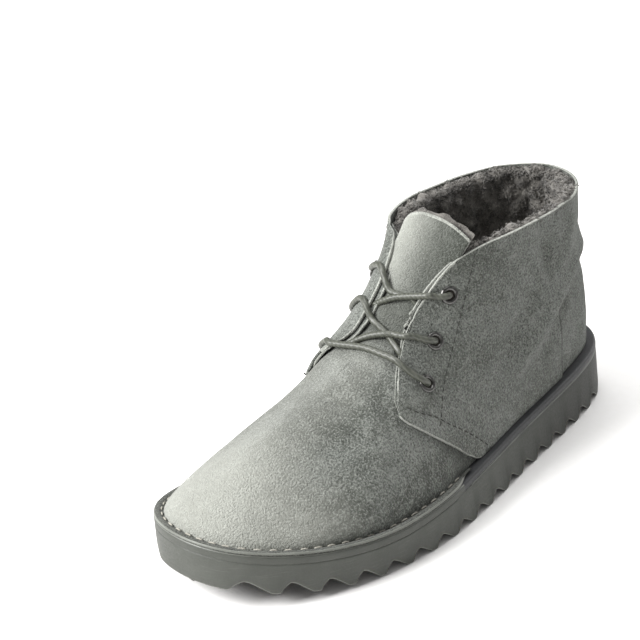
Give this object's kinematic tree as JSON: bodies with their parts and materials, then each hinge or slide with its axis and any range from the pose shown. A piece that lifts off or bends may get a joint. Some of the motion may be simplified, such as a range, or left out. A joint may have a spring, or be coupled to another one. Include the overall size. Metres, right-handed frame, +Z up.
{
  "type": "desert boot",
  "caption": "Left ankle-high desert boot with a fleece-lined suede upper, open collar, laced throat, tongue and a flat rubber wedge sole with a ripple tread.",
  "frame": {"origin": "middle of the sole's bounding box, on the floor", "axes": "toe along -Y, heel along +Y, lateral (outer) side of the left foot along +X, up along +Z"},
  "size_m": [0.1103, 0.2892, 0.1295],
  "materials": {
    "suede": "olive grey napped suede, matt",
    "fleece": "charcoal brown curly fleece",
    "outsole_rubber": "grey-green rubber, matt with light scuffs",
    "midsole_rubber": "dark rubber, matt",
    "gunmetal": "dark gunmetal plating, satin",
    "cord": "olive grey waxed round cord"
  },
  "bodies": {
    "root": {"upper": "suede", "tongue": "suede", "vamp_flange": "suede", "insole": "fleece", "outsole": "outsole_rubber", "midsole": "midsole_rubber", "lace_bar": "cord", "lace_cross_middle": "cord", "lace_cross_top": "cord", "eyelet_lateral_bottom": "gunmetal", "eyelet_lateral_middle": "gunmetal", "eyelet_lateral_top": "gunmetal", "eyelet_medial_bottom": "gunmetal", "eyelet_medial_middle": "gunmetal", "eyelet_medial_top": "gunmetal"}
  },
  "joints": []
}
